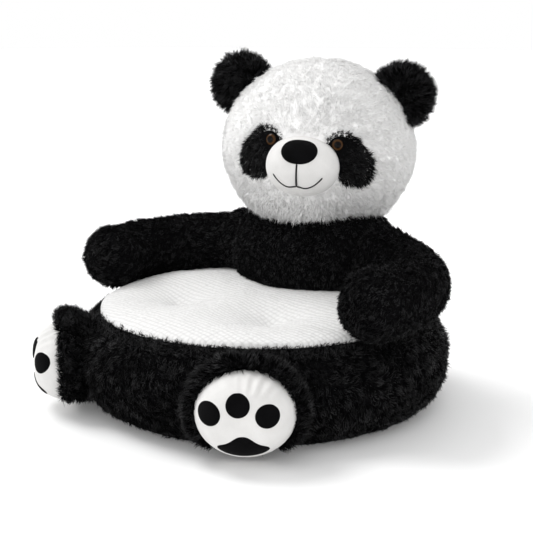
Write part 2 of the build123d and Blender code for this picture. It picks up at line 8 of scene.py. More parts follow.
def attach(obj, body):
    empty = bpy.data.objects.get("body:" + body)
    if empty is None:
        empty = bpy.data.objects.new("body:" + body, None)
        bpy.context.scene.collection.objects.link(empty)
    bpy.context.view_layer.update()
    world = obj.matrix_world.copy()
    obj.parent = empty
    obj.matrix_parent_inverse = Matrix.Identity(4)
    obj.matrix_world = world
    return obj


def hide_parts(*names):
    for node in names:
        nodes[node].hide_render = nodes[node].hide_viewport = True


# Looks of the plush panda chair. Metres, in the frame that the CAD model uses.
# The panda's left side is +X and its front is -Y.

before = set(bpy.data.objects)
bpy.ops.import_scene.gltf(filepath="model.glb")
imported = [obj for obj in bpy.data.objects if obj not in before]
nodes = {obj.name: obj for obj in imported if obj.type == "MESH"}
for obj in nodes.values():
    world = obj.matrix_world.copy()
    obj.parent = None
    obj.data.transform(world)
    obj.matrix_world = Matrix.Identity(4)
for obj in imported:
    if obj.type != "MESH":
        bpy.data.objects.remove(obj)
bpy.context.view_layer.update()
rng = np.random.default_rng(20)
MM = 0.001
UP = np.array([0.0, 0.0, 1.0])


# ---- vectors and noise -------------------------------------------------------------------------
def unit(v):
    return v / np.maximum(np.linalg.norm(v, axis=-1, keepdims=True), 1e-9)


def smooth(t):
    t = np.clip(t, 0, 1)
    return t * t * (3 - 2 * t)


def lattice(cell, seed):
    """A number from 0 to 1 for each whole-number cell."""
    h = (cell[..., 0] * 73856093) ^ (cell[..., 1] * 19349663) ^ (cell[..., 2] * 83492791)
    h = (h ^ (seed * 2654435761)) & 0xFFFFFFFF
    h = ((h ^ (h >> 13)) * 1274126177) & 0xFFFFFFFF
    h = ((h ^ (h >> 15)) * 2246822519) & 0xFFFFFFFF
    return ((h ^ (h >> 16)) & 0xFFFFF) / 0xFFFFF


def noise(p, size, seed=0):
    """Smooth noise from -1 to 1 with features of that size in metres."""
    q = p / size
    cell = np.floor(q).astype(np.int64)
    f = q - cell
    f = f * f * (3 - 2 * f)
    total = 0.0
    for corner in np.ndindex(2, 2, 2):
        weight = np.prod(np.where(np.array(corner) == 1, f, 1 - f), axis=-1)
        total = total + weight * lattice(cell + np.array(corner), seed)
    return 2 * total - 1


def noise_vector(p, size, seed=0):
    return np.stack([noise(p, size, seed + k) for k in (1, 2, 3)], -1)


def clumps(p, size, seed):
    """Vector from each point to the middle of its tuft, and one random number for the tuft."""
    cell = np.floor(p / size).astype(np.int64)
    nearest = np.full(len(p), 1e9)
    pull = np.zeros_like(p)
    tag = np.zeros(len(p))
    for step in np.ndindex(3, 3, 3):
        c = cell + np.array(step) - 1
        jitter = np.stack([lattice(c, seed + k) for k in (11, 12, 13)], -1)
        to = (c + jitter) * size - p
        d = (to**2).sum(-1)
        closer = d < nearest
        nearest[closer] = d[closer]
        pull[closer] = to[closer]
        tag[closer] = lattice(c[closer], seed + 14)
    return pull, tag


# ---- the shapes that the CAD model has, repeated as points -----------------------------------------
class Frame:
    """A place and three directions, for points given in a piece's own frame."""

    def __init__(self, origin, x, z):
        self.o = np.array(origin, float)
        self.x = unit(np.array(x, float))
        self.z = unit(np.array(z, float))
        self.y = np.cross(self.z, self.x)
        self.axes = np.stack([self.x, self.y, self.z])

    def out(self, local):
        return self.o + np.asarray(local) @ self.axes

    def into(self, world):
        return (np.asarray(world) - self.o) @ self.axes.T


turn, tilt = radians(27.4), radians(3.4)
HEAD = Frame(
    (0.009, 0.101, 0.318),
    (cos(turn) * cos(tilt), sin(turn) * cos(tilt), -sin(tilt)),
    (cos(turn) * sin(tilt), sin(turn) * sin(tilt), cos(tilt)),
)
MUZZLE = Frame(HEAD.out((0, -0.097, -0.021)), HEAD.x, HEAD.z)
TORSO = Frame((0, 0.108, 0.160), (1, 0, 0), (0, 0, 1))
splay = radians(36.8)
FOOT_OUT, FOOT_Z = 0.232, 0.059


def foot_frame(side):
    """Foot frame: x across the foot, y towards the base, z up."""
    out = np.array([side * sin(splay), -cos(splay), 0])
    return Frame(out * FOOT_OUT + (0, 0, FOOT_Z), np.cross(UP, out), UP)


def ear_frame(side):
    out = unit(side * 0.105 * HEAD.x + 0.068 * HEAD.z)
    return Frame(HEAD.out((side * 0.105, -0.004, 0.068)), HEAD.y, out)


def oval_radius(x, half_w, r, tight):
    """Radius at x of the four-arc oval that the CAD model turns about its X axis."""
    if half_w >= r:
        end_r, mid_r = tight, ((half_w - tight) ** 2 + r**2 - tight**2) / (2 * (r - tight))
    else:
        end_r, mid_r = (half_w**2 + r**2 - 2 * r * tight) / (2 * (half_w - tight)), tight
    end_x, mid_y = half_w - end_r, r - mid_r
    lean = atan2(-mid_y, end_x) if mid_r > end_r else atan2(mid_y, -end_x)
    join_x = end_x + end_r * cos(lean)
    x = np.minimum(np.abs(x), half_w)
    at_end = np.sqrt(np.maximum(end_r**2 - (x - end_x) ** 2, 0))
    at_mid = mid_y + np.sqrt(np.maximum(mid_r**2 - x**2, 0))
    return np.where(x > join_x, at_end, at_mid)


def oval_points(d, half_w, r, tight):
    """Points of the oval in the directions d of a unit sphere."""
    x = d[:, 0] * half_w
    across = unit(d[:, 1:] + 1e-12)
    return np.column_stack([x, across * oval_radius(x, half_w, r, tight)[:, None]])


def oval_normal(local, oval):
    """Outward direction at points on an oval of that half width and radius."""
    half_w, r = oval[:2]
    return unit(local * (1 / half_w**2, 1 / r**2, 1 / r**2))


def inside_oval(p, place, oval, grow=0.0):
    q = place.into(p)
    half_w, r = oval[:2]
    return (q[:, 0] / (half_w + grow)) ** 2 + (q[:, 1] ** 2 + q[:, 2] ** 2) / (r + grow) ** 2 < 1


# half width, radius and tightest arc of each oval
HEAD_OVAL = (0.120, 0.101, 0.090)
MUZZLE_OVAL = (0.0455, 0.0375, 0.0345)
TORSO_OVAL = (0.119, 0.089, 0.076)
EAR_OVAL = (0.012, 0.033, 0.009)


# ---- meshes --------------------------------------------------------------------------------------
def make_object(name, verts, faces, body=None, smooth_faces=True):
    mesh = bpy.data.meshes.new(name)
    mesh.from_pydata([tuple(v) for v in verts], [], [tuple(int(i) for i in f) for f in faces])
    mesh.update()
    if smooth_faces:
        mesh.polygons.foreach_set("use_smooth", np.ones(len(mesh.polygons), bool))
    obj = bpy.data.objects.new(name, mesh)
    bpy.context.scene.collection.objects.link(obj)
    if body:
        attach(obj, body)
    return obj


def sphere(level):
    """Directions and faces of an even sphere."""
    bpy.ops.mesh.primitive_ico_sphere_add(subdivisions=level, radius=1)
    made = bpy.context.object
    d = np.array([v.co for v in made.data.vertices])
    faces = [tuple(f.vertices) for f in made.data.polygons]
    bpy.data.meshes.remove(made.data)
    return unit(d), faces


def grid_faces(nu, nv):
    """Faces of a grid stored row by row, v first, with u running round."""
    faces = []
    for i in range(nu):
        for j in range(nv - 1):
            a, b = i * nv + j, ((i + 1) % nu) * nv + j
            faces.append((a, b, b + 1, a + 1))
    return faces


def ring_faces(rows, count):
    """Faces between closed rings of that many points, one ring after another."""
    faces = []
    for i in range(rows - 1):
        for j in range(count):
            k = (j + 1) % count
            faces.append((i * count + j, (i + 1) * count + j, (i + 1) * count + k, i * count + k))
    return faces


def triangles(obj):
    """Corner places and corner normals of every triangle of a mesh."""
    mesh = obj.data
    mesh.calc_loop_triangles()
    tri = np.zeros(len(mesh.loop_triangles) * 3, np.int32)
    mesh.loop_triangles.foreach_get("vertices", tri)
    co = np.zeros(len(mesh.vertices) * 3)
    mesh.vertices.foreach_get("co", co)
    no = np.zeros(len(mesh.vertices) * 3)
    mesh.vertex_normals.foreach_get("vector", no)
    tri = tri.reshape(-1, 3)
    return co.reshape(-1, 3)[tri], no.reshape(-1, 3)[tri]


# ---- pile ------------------------------------------------------------------------------------------
MOST_STRANDS = 19500       # in one piece, so that it stays under 200,000 triangles
OFF_FLOOR = 0.6 * MM       # no strand comes nearer to the floor than this


def strand_mesh(name, body, root, normal, mid, tip, width, shade, materials):
    """Closed three-sided strands, bent once, as pieces of at most MOST_STRANDS."""
    along = unit(mid - root)
    side = unit(np.cross(along, normal + 0.3 * unit(rng.normal(size=root.shape))))
    other = np.cross(along, side)
    for part, start in enumerate(range(0, len(root), MOST_STRANDS)):
        s = slice(start, start + MOST_STRANDS)
        n = len(root[s])
        verts = np.empty((n, 7, 3))
        for k in range(3):
            a = 2 * pi * k / 3
            ring = (cos(a) * side[s] + sin(a) * other[s]) * width[s, None] / 2
            verts[:, k] = root[s] + ring
            verts[:, 3 + k] = mid[s] + ring * 0.8
        verts[:, 6] = tip[s]
        one = [(0, 1, 4), (0, 4, 3), (1, 2, 5), (1, 5, 4), (2, 0, 3), (2, 3, 5), (0, 2, 1),
               (3, 4, 6), (4, 5, 6), (5, 3, 6)]
        faces = (np.array(one)[None] + 7 * np.arange(n)[:, None, None]).reshape(-1)
        # Each strand's lower half takes a darker slot than its tip (the root slot, or the first tuft tone
        # for the lightest tufts): painted shade deep in the pile. The tip takes its tuft's tone.
        slots = np.zeros((n, 10), np.int32)
        slots[:, 7:] = 1 + shade[s, None]
        slots[:, :6] = np.where(shade[s, None] > 1, 1, 0)
        mesh = bpy.data.meshes.new(name)
        mesh.vertices.add(n * 7)
        mesh.vertices.foreach_set("co", verts.astype(np.float32).ravel())
        mesh.loops.add(n * 30)
        mesh.loops.foreach_set("vertex_index", faces.astype(np.int32))
        mesh.polygons.add(n * 10)
        mesh.polygons.foreach_set("loop_start", np.arange(0, n * 30, 3, dtype=np.int32))
        for m in materials:
            mesh.materials.append(m)
        mesh.polygons.foreach_set("material_index", slots.ravel())
        mesh.polygons.foreach_set("use_smooth", np.ones(n * 10, bool))
        mesh.update(calc_edges=True)
        obj = bpy.data.objects.new(f"{name}_{part + 1}", mesh)
        bpy.context.scene.collection.objects.link(obj)
        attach(obj, body)


def grow_pile(name, skin, body, materials, every, length, comb, *, width=1.1, lean=(0.5, 0.9),
              tuft=9.0, gather=0.5, scatter=0.35, swirl=1.0, keep, seed):
    """Pile on a skin: one strand for every so many square millimetres, length mm long.

    comb(p, n) is the direction in which the pile lies, lean how far it lies down at its root and
    at its tip, tuft the size of a tuft in mm, gather how far its tips close up, swirl how far
    the comb wanders, and keep(p, n) where there is pile at all.
    """
    corners, normals = triangles(skin)
    area = np.linalg.norm(np.cross(corners[:, 1] - corners[:, 0], corners[:, 2] - corners[:, 0]), axis=1) / 2
    count = int(area.sum() / (every * MM**2))
    pick = rng.choice(len(area), count, p=area / area.sum())
    u, v = rng.random(count), rng.random(count)
    over = u + v > 1
    u[over], v[over] = 1 - u[over], 1 - v[over]
    w = np.stack([1 - u - v, u, v], 1)[:, :, None]
    p, n = (corners[pick] * w).sum(1), unit((normals[pick] * w).sum(1))
    chosen = rng.random(len(p)) < keep(p, n)
    p, n = p[chosen], n[chosen]
    size = np.asarray(length(p) if callable(length) else np.full(len(p), float(length))) * MM
    size = size * rng.uniform(0.72, 1.12, len(p))
    lay = comb(p, n) + swirl * (0.9 * noise_vector(p, 0.045, seed) + 0.5 * noise_vector(p, 0.016, seed + 5))
    lay = unit(lay - (lay * n).sum(1, keepdims=True) * n)
    pull, tag = clumps(p, tuft * MM, seed)
    pull = pull - (pull * n).sum(1, keepdims=True) * n
    swing = noise_vector(np.column_stack([tag, tag * 3.7, tag * 7.1]), 0.11, seed + 9)
    random = rng.normal(size=p.shape)
    bend = lay + scatter * random + 0.8 * swirl * swing
    low = unit(n * (1 - lean[0]) + bend * lean[0])
    high = unit(n * (1 - lean[1]) + bend * lean[1])
    root = p - n * 0.8 * MM
    mid = root + low * size[:, None] * 0.5 + pull * gather * 0.35
    tip = mid + high * size[:, None] * 0.5 + pull * gather * 0.65
    mid[:, 2] = np.maximum(mid[:, 2], OFF_FLOOR)
    tip[:, 2] = np.maximum(tip[:, 2], OFF_FLOOR)
    shade = np.minimum((3 * (0.55 * tag + 0.45 * rng.random(len(p)))).astype(int), 2)
    thick = width * MM * rng.uniform(0.75, 1.2, len(p))
    strand_mesh(name, body, root, n, mid, tip, thick, shade, materials)


# ---- materials -------------------------------------------------------------------------------------
def new_material(name, rough=0.8, sheen=0.0, sheen_rough=0.4, specular=0.3, color=(0.5, 0.5, 0.5)):
    m = bpy.data.materials.new(name)
    m.use_nodes = True
    b = m.node_tree.nodes["Principled BSDF"]
    b.inputs["Base Color"].default_value = (*color, 1)
    b.inputs["Roughness"].default_value = rough
    b.inputs["Sheen Weight"].default_value = sheen
    b.inputs["Sheen Roughness"].default_value = sheen_rough
    b.inputs["Specular IOR Level"].default_value = specular
    return m


class Tree:
    """Short names for building a material's nodes."""

    def __init__(self, material):
        self.t = material.node_tree
        self.shader = self.t.nodes["Principled BSDF"]
        self.place = self.add("ShaderNodeTexCoord").outputs["Object"]

    def add(self, kind, inputs=None, **settings):
        node = self.t.nodes.new(kind)
        for k, v in settings.items():
            setattr(node, k, v)
        for k, v in (inputs or {}).items():
            if isinstance(v, bpy.types.NodeSocket):
                self.t.links.new(v, node.inputs[k])
            else:
                node.inputs[k].default_value = v
        return node

    def math(self, operation, a, b=0.0):
        return self.add("ShaderNodeMath", {0: a, 1: b}, operation=operation).outputs[0]

    def noise(self, scale, detail=3.0, rough=0.5, place=None):
        return self.add(
            "ShaderNodeTexNoise",
            {"Vector": place or self.place, "Scale": scale, "Detail": detail, "Roughness": rough},
        ).outputs["Fac"]

    def ramp(self, value, stops):
        node = self.add("ShaderNodeValToRGB", {"Fac": value})
        e = node.color_ramp.elements
        while len(e) < len(stops):
            e.new(0.5)
        for item, (at, color) in zip(e, stops):
            item.position = at
            item.color = (*color, 1)
        return node.outputs["Color"]

    def bump(self, height, distance, strength=1.0, below=None):
        inputs = {"Height": height, "Distance": distance, "Strength": strength}
        if below is not None:
            inputs["Normal"] = below
        return self.add("ShaderNodeBump", inputs).outputs["Normal"]

    def set(self, color=None, normal=None, rough=None):
        for key, value in (("Base Color", color), ("Normal", normal), ("Roughness", rough)):
            if value is not None:
                self.t.links.new(value, self.shader.inputs[key])


def plush_ground(name, dark, light, rough=0.9, sheen=0.2, specular=0.2):
    """Backing and pressed pile under long strands, in the darker tone given for the pile's roots (painted
    shade of the deep pile): mottled, with fine fibres.
    """
    m = new_material(name, rough, sheen, specular=specular)
    t = Tree(m)
    fibre = t.noise(900, 2)
    patch = t.noise(60, 4)
    mixed = t.math("ADD", t.math("MULTIPLY", fibre, 0.5), t.math("MULTIPLY", patch, 0.5))
    t.set(t.ramp(mixed, [(0.35, dark), (0.65, light)]),
          t.bump(fibre, 0.0012, 0.9, t.bump(patch, 0.003, 0.6)),
          t.math("ADD", t.math("MULTIPLY", patch, 0.15), rough - 0.1))
    return m


def velour(name, dark, light, nap=0.0004, sheen=0.35, rough=0.85, specular=0.25):
    """Short smooth pile: a fine nap, soft blotches where it is brushed, and a soft sheen."""
    m = new_material(name, rough, sheen, 0.5, specular)
    t = Tree(m)
    fine = t.noise(2600, 2, 0.6)
    brushed = t.noise(45, 3, 0.55)
    wide = t.noise(14, 2)
    mixed = t.math("ADD", t.math("MULTIPLY", fine, 0.35), t.math("MULTIPLY", brushed, 0.4))
    mixed = t.math("ADD", mixed, t.math("MULTIPLY", wide, 0.25))
    t.set(t.ramp(mixed, [(0.36, dark), (0.62, light)]),
          t.bump(fine, nap, 0.7, t.bump(brushed, 0.0012, 0.35)),
          t.math("ADD", t.math("MULTIPLY", brushed, 0.12), rough - 0.06))
    return m


def weave(name, dark, light, pitch=0.0009, rough=0.8):
    """Plain weave for the bottom panel, the tape, the collar and the mouth's thread."""
    m = new_material(name, rough, 0.1, 0.5, 0.25)
    t = Tree(m)
    scale = 2 * pi / (2 * pitch)
    split = t.add("ShaderNodeSeparateXYZ", {0: t.place}).outputs
    across = t.math("SINE", t.math("MULTIPLY", t.math("ADD", split[0], split[2]), scale))
    down = t.math("SINE", t.math("MULTIPLY", t.math("SUBTRACT", split[1], split[2]), scale))
    over = t.math("MULTIPLY", across, down)
    worn = t.noise(35, 4)
    tone = t.math("ADD", t.math("MULTIPLY", over, 0.2), worn)
    t.set(t.ramp(tone, [(0.3, dark), (0.75, light)]), t.bump(over, pitch * 0.4, 0.8))
    return m


def moulded(name, dark, light, rough, specular=0.5, metallic=0.0):
    """Moulded plastic or enamelled metal: faint mottling and fine scratches."""
    m = new_material(name, rough, 0.0, 0.5, specular)
    m.node_tree.nodes["Principled BSDF"].inputs["Metallic"].default_value = metallic
    t = Tree(m)
    grain = t.noise(1500, 3)
    wear = t.noise(220, 5, 0.7)
    t.set(t.ramp(wear, [(0.35, dark), (0.7, light)]),
          t.bump(grain, 0.00005, 0.4),
          t.math("ADD", t.math("MULTIPLY", wear, 0.2), rough - 0.1))
    return m


def waffle(name):
    """Quilted seat cloth: rows of small raised squares, soft white pile on each, with painted shade in the
    grooves between them.
    """
    pitch = 0.0064
    m = new_material(name, 0.88, 0.2, 0.5, 0.1)
    t = Tree(m)
    turned = t.add("ShaderNodeMapping", {"Vector": t.place, "Rotation": (0, 0, radians(8))})
    wobble = t.noise(30, 2)
    bent = t.add("ShaderNodeVectorMath", {0: turned.outputs[0], 1: t.add(
        "ShaderNodeCombineXYZ", {0: t.math("MULTIPLY", wobble, 0.004), 1: t.math("MULTIPLY", wobble, 0.006)}
    ).outputs[0]}, operation="ADD")
    split = t.add("ShaderNodeSeparateXYZ", {0: bent.outputs[0]}).outputs
    rows = t.math("ABSOLUTE", t.math("SINE", t.math("MULTIPLY", split[1], pi / pitch)))
    cells = t.math("ABSOLUTE", t.math("SINE", t.math("MULTIPLY", split[0], pi / pitch)))
    square = t.math("POWER", t.math("MULTIPLY", rows, t.math("POWER", cells, 0.6)), 0.7)
    fuzz = t.noise(1800, 2, 0.6)
    # The colour follows the squares' height: darker in the grooves between them, painted shade.
    tone = t.math("ADD", t.math("MULTIPLY", square, 0.75), t.math("MULTIPLY", fuzz, 0.25))
    white_and_groove_shade = [(0.10, (0.61, 0.605, 0.60)), (0.50, (0.71, 0.706, 0.70)), (0.9, (0.755, 0.75, 0.745))]
    t.set(t.ramp(tone, white_and_groove_shade),
          t.bump(fuzz, 0.0004, 0.4, t.bump(square, 0.0012, 0.6)))
    return m


def eye_material(name, centre, axis):
    """Glossy safety eye: dark pupil, amber ring with darker streaks, dark edge."""
    m = new_material(name, 0.08, 0.0, 0.5, 0.06)
    shader = m.node_tree.nodes["Principled BSDF"]
    shader.inputs["Coat Weight"].default_value = 0.08
    shader.inputs["Coat Roughness"].default_value = 0.02
    t = Tree(m)
    offset = t.add("ShaderNodeVectorMath", {0: t.place, 1: tuple(centre)}, operation="SUBTRACT").outputs[0]
    around = t.add("ShaderNodeVectorMath", {0: offset, 1: tuple(axis)}, operation="CROSS_PRODUCT").outputs[0]
    radius = t.add("ShaderNodeVectorMath", {0: around}, operation="LENGTH").outputs["Value"]
    streaks = t.noise(700, 3, 0.7)
    shown = t.math("ADD", t.math("MULTIPLY", radius, 100), t.math("MULTIPLY", streaks, 0.06))
    t.set(t.ramp(shown, [
        (0.0, (0.001, 0.0008, 0.0008)), (0.36, (0.0015, 0.001, 0.001)), (0.42, (0.010, 0.004, 0.0015)),
        (0.56, (0.060, 0.027, 0.008)), (0.68, (0.030, 0.013, 0.004)), (0.74, (0.003, 0.002, 0.002)),
    ]))
    return m


# The first material of each list is the darker root colour, painted shade deep in the pile; the others are
# tuft tones picked at random.
BLACK_SHADES = [
    new_material("black_pile_root_painted_shade", 0.9, 0.0, 0.5, 0.02, (0.0025, 0.0025, 0.0028)),
    new_material("black_pile_a", 0.75, 0.02, 0.4, 0.04, (0.0045, 0.0045, 0.0048)),
    new_material("black_pile_b", 0.70, 0.03, 0.4, 0.06, (0.0085, 0.0085, 0.0090)),
    new_material("black_pile_c", 0.60, 0.05, 0.4, 0.15, (0.0170, 0.0170, 0.0182)),
]
WHITE_SHADES = [
    new_material("white_pile_root_painted_shade", 0.9, 0.2, 0.5, 0.1, (0.93, 0.925, 0.92)),
    new_material("white_pile_a", 0.85, 0.3, 0.5, 0.1, (0.95, 0.946, 0.94)),
    new_material("white_pile_b", 0.85, 0.3, 0.5, 0.1, (0.965, 0.962, 0.957)),
    new_material("white_pile_c", 0.85, 0.3, 0.5, 0.1, (0.98, 0.977, 0.973)),
]
# The skins under the pile take about the tone of the pile's roots: painted shade of the deep pile where they
# show between strands.
black_ground_painted_shade = plush_ground("black_ground_painted_shade", (0.0015, 0.0015, 0.0017), (0.005, 0.005, 0.0055),
                            sheen=0.0, specular=0.03)
white_ground_painted_shade = plush_ground("white_ground_painted_shade", (0.90, 0.895, 0.89), (0.96, 0.956, 0.95))
white_velour = velour("white_velour", (0.64, 0.632, 0.62), (0.75, 0.742, 0.73), sheen=0.15, specular=0.1)
black_velour = velour("black_velour", (0.0015, 0.0015, 0.0016), (0.0045, 0.0045, 0.005),
                      sheen=0.02, specular=0.02)
seat_cloth = waffle("seat_cloth")
black_thread = weave("black_thread", (0.004, 0.004, 0.004), (0.015, 0.015, 0.016), 0.0005)
bottom_cloth = weave("bottom_cloth", (0.008, 0.008, 0.009), (0.03, 0.03, 0.032), 0.0012)
dark_tape = weave("dark_tape", (0.006, 0.006, 0.007), (0.02, 0.02, 0.022), 0.0007)
zip_plastic = moulded("zip_plastic", (0.006, 0.006, 0.007), (0.02, 0.02, 0.021), 0.4)
zip_enamel = moulded("zip_enamel", (0.012, 0.012, 0.013), (0.05, 0.05, 0.052), 0.3, 0.6, 0.7)
washer_plastic = moulded("washer_plastic", (0.7, 0.7, 0.68), (0.85, 0.85, 0.83), 0.5)


def dress(obj, material):
    obj.data.materials.clear()
    obj.data.materials.append(material)


# ---- base --------------------------------------------------------------------------------------------
def arc_through(a, b, c, count):
    """Points of the arc from a through b to c, in a plane."""
    (ax, ay), (bx, by), (cx, cy) = a, b, c
    d = 2 * (ax * (by - cy) + bx * (cy - ay) + cx * (ay - by))
    ux = ((ax**2 + ay**2) * (by - cy) + (bx**2 + by**2) * (cy - ay) + (cx**2 + cy**2) * (ay - by)) / d
    uy = ((ax**2 + ay**2) * (cx - bx) + (bx**2 + by**2) * (ax - cx) + (cx**2 + cy**2) * (bx - ax)) / d
    start, middle, end = (atan2(y - uy, x - ux) for x, y in (a, b, c))
    while middle < start:
        middle += 2 * pi
    while end < middle:
        end += 2 * pi
    if end - start > 2 * pi:
        end -= 2 * pi
    t = np.linspace(start, end, count)
    radius = ((ax - ux) ** 2 + (ay - uy) ** 2) ** 0.5
    return np.column_stack([ux + radius * np.cos(t), uy + radius * np.sin(t)])


SEAT_R, SEAT_Z, CROWN_Z = 0.207, 0.114, 0.129
BOTTOM_R, BULGE_R, BULGE_Z = 0.200, 0.233, 0.072
ZIP_Z, ZIP_HALF_ANGLE, ZIP_HALF_GAP = 0.064, 36, 0.006
RIM_Z = 0.103              # above this height the base carries the tufts along the seam
feet = {side: foot_frame(side) for side in (1, -1)}
side_line = arc_through((BOTTOM_R, 0.0017), (BULGE_R, BULGE_Z), (SEAT_R, SEAT_Z), 40)
rim_line = np.array([[SEAT_R - 0.002, SEAT_Z + 0.0015], [SEAT_R - 0.006, SEAT_Z - 0.001]])
under_line = np.array([[0.192, 0.0012]])
outline = np.vstack([under_line, side_line, rim_line])
around = np.linspace(0, 2 * pi, 240, endpoint=False)
angle = np.repeat(around, len(outline))
ring = np.tile(outline, (len(around), 1))
base_points = np.column_stack([ring[:, 0] * np.cos(angle), ring[:, 0] * np.sin(angle), ring[:, 1]])
lump = noise(base_points, 0.07, 3) * 0.0022 + noise(base_points, 0.03, 4) * 0.0008
settled = smooth(base_points[:, 2] / 0.03)
base_points[:, :2] *= (1 + lump * settled / 0.22)[:, None]
base_skin = make_object("base_plush_skin", base_points, grid_faces(len(around), len(outline)), "base")
dress(base_skin, black_ground_painted_shade)
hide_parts("base_side_cover")


def on_foot(p):
    """True where a point of the base is covered by a foot."""
    hidden = np.zeros(len(p), bool)
    for f in feet.values():
        q = f.into(p)
        hidden |= ((q[:, 0] / 0.050) ** 2 + (q[:, 2] / 0.043) ** 2 < 1) & (q[:, 1] < 0.05)
    return hidden


def base_comb(p, n):
    """Down the side, and outwards along the seat's seam."""
    rim = smooth((p[:, 2] - 0.100) / 0.012)[:, None]
    return -UP * (1 - 1.8 * rim) * 0.75 + 0.35 * np.cross(UP, n)


def base_length(p):
    low, rim = smooth((0.03 - p[:, 2]) / 0.03), smooth((p[:, 2] - 0.088) / 0.022)
    return 12.0 - 4.5 * low - 2.0 * rim + 1.0 * noise(p, 0.05, 8)


def zip_shown(p):
    from_back = np.degrees(np.arctan2(p[:, 1], p[:, 0])) - 90
    return (np.abs(from_back) < ZIP_HALF_ANGLE) & (np.abs(p[:, 2] - ZIP_Z) < ZIP_HALF_GAP)


def base_shown(p, n):
    return ~on_foot(p) & ~zip_shown(p) & (p[:, 2] > 0.002)


grow_pile("base_pile", base_skin, "base", BLACK_SHADES, 3.4, base_length, base_comb, lean=(0.58, 0.88),
          tuft=10, gather=0.6, scatter=0.28, width=1.1, seed=100, keep=base_shown)


def rim_comb(p, n):
    return np.tile(UP, (len(p), 1))


def rim_shown(p, n):
    return (p[:, 2] > RIM_Z) & ~on_foot(p)


# short tufts that stand up over the seat's seam
grow_pile("base_rim_pile", base_skin, "base", BLACK_SHADES, 2.0, 7.5, rim_comb, lean=(0.35, 0.75),
          tuft=4, gather=0.6, scatter=0.3, seed=110, keep=rim_shown)

# ---- seat --------------------------------------------------------------------------------------------
TUFT_X, TUFT_Y = 0.076, -0.072
TUFTS = np.array([[-TUFT_X, TUFT_Y], [TUFT_X, TUFT_Y]])
DIMPLE_DEEP, DIMPLE_R = 0.018, 0.036
CROWN_LIFT = 0.001         # the cloth's crown stands this far above the stuffing's
HEM, TIE_R = 0.003, 0.006  # cloth held at the seam and round each tie


def seat_height(x, y):
    """Crowned seat with two deep dimples and soft swells between them."""
    r = np.hypot(x, y)
    z = SEAT_Z + (CROWN_Z + CROWN_LIFT - SEAT_Z) * np.sqrt(np.maximum(1 - (r / SEAT_R) ** 7, 0))
    for tx, ty in TUFTS:
        d = np.hypot(x - tx, (y - ty) * 1.15)
        z = z - DIMPLE_DEEP * np.exp(-((d / DIMPLE_R) ** 1.3))
    between = np.exp(-((x / 0.045) ** 2 + ((y - TUFT_Y) / 0.05) ** 2))
    back = np.exp(-((np.abs(x) - 0.11) / 0.06) ** 2 - ((y - 0.01) / 0.07) ** 2)
    front = np.exp(-((np.hypot(x, y) - 0.165) / 0.03) ** 2) * (y < 0.02)
    return z + 0.002 * between + 0.006 * back + 0.002 * front


def inflate(obj, pinned, pressure, slack, frames=20, most=0.012):
    """Lets the cloth of a padded piece swell under pressure, held at its pinned vertices."""
    pins = obj.vertex_groups.new(name="pins")
    pins.add([int(i) for i in np.flatnonzero(pinned)], 1.0, "REPLACE")
    cloth = obj.modifiers.new("cloth", "CLOTH")
    cloth.settings.vertex_group_mass = "pins"
    cloth.settings.use_pressure = True
    cloth.settings.uniform_pressure_force = pressure
    cloth.settings.shrink_min = -slack
    cloth.settings.effector_weights.gravity = 0
    cloth.settings.tension_stiffness = cloth.settings.compression_stiffness = 40
    cloth.settings.shear_stiffness = 20
    cloth.settings.bending_stiffness = 0.1
    cloth.settings.air_damping = 3
    cloth.collision_settings.use_collision = False
    cloth.point_cache.frame_end = frames
    for at in range(1, frames + 1):
        bpy.context.scene.frame_set(at)
    swollen = obj.evaluated_get(bpy.context.evaluated_depsgraph_get()).to_mesh()
    before, after = np.zeros(len(pinned) * 3), np.zeros(len(pinned) * 3)
    obj.data.vertices.foreach_get("co", before)
    swollen.vertices.foreach_get("co", after)
    move = (after - before).reshape(-1, 3)
    far = np.linalg.norm(move, axis=1, keepdims=True)
    move = move * np.minimum(1, most / np.maximum(far, 1e-9))
    obj.modifiers.remove(cloth)
    obj.vertex_groups.remove(pins)
    obj.data.vertices.foreach_set("co", before + move.ravel())
    obj.data.update()
    bpy.context.scene.frame_set(1)


# the panel is a disc of six equal wedges of triangles
rings = 52
flat, seat_faces, ring_start = [(0.0, 0.0)], [], [0]
for i in range(1, rings + 1):
    ring_start.append(len(flat))
    for j in range(6 * i):
        flat.append((SEAT_R * i / rings * cos(pi * j / (3 * i)), SEAT_R * i / rings * sin(pi * j / (3 * i))))
for i in range(1, rings + 1):
    for wedge in range(6):
        for k in range(i):
            a = ring_start[i] + wedge * i + k
            b = ring_start[i] + (wedge * i + k + 1) % (6 * i)
            c = ring_start[i - 1] + (wedge * (i - 1) + k) % max(6 * (i - 1), 1)
            seat_faces.append((c, a, b))
            if k < i - 1:
                seat_faces.append((c, b, ring_start[i - 1] + (wedge * (i - 1) + k + 1) % (6 * (i - 1))))
flat = np.array(flat)
x, y = flat[:, 0] * 0.998, flat[:, 1] * 0.998
seat_points = np.column_stack([x, y, seat_height(x, y)])
seat_points[:, 2] += 0.0003 * rng.normal(size=len(x)) * (np.hypot(x, y) < SEAT_R - 0.008)
seat_skin = make_object("seat_quilted_panel", seat_points, seat_faces, "base")
held = np.hypot(x, y) > SEAT_R - HEM
for tx, ty in TUFTS:
    held |= np.hypot(x - tx, y - ty) < TIE_R
inflate(seat_skin, held, pressure=0.8, slack=0.012)
dress(seat_skin, seat_cloth)
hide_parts("seat_panel", "base_fill", "seat_tuft_ties")

# ---- torso -------------------------------------------------------------------------------------------
directions, ball_faces = sphere(6)


